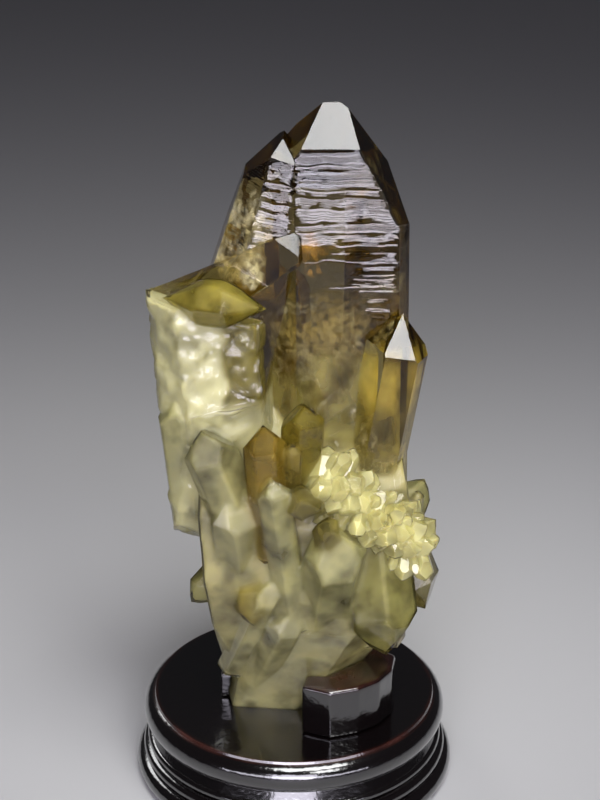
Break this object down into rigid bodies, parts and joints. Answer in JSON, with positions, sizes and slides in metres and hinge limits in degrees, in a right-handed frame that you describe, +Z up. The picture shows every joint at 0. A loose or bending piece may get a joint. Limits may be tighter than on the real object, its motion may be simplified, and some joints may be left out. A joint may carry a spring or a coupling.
{
  "type": "citrine crystal cluster on a display stand",
  "caption": "Cluster of smoky citrine points grown together, standing in the fitted pocket of a round lacquered wooden display stand with glued lugs.",
  "frame": {"origin": "centre of the stand's round underside", "axes": "+Z up, -Y towards the front that the picture shows"},
  "size_m": [0.11, 0.11, 0.2367],
  "materials": {
    "citrine": "natural crystal faces, smoky yellow and clear at the tips, milky at the foot",
    "lacquered_wood": "glossy near-black lacquer with a dark red tint"
  },
  "bodies": {
    "root": {"citrine_cluster": "citrine", "stand_base": "lacquered_wood", "lug_front": "lacquered_wood", "lug_left": "lacquered_wood", "lug_back": "lacquered_wood"}
  },
  "joints": []
}
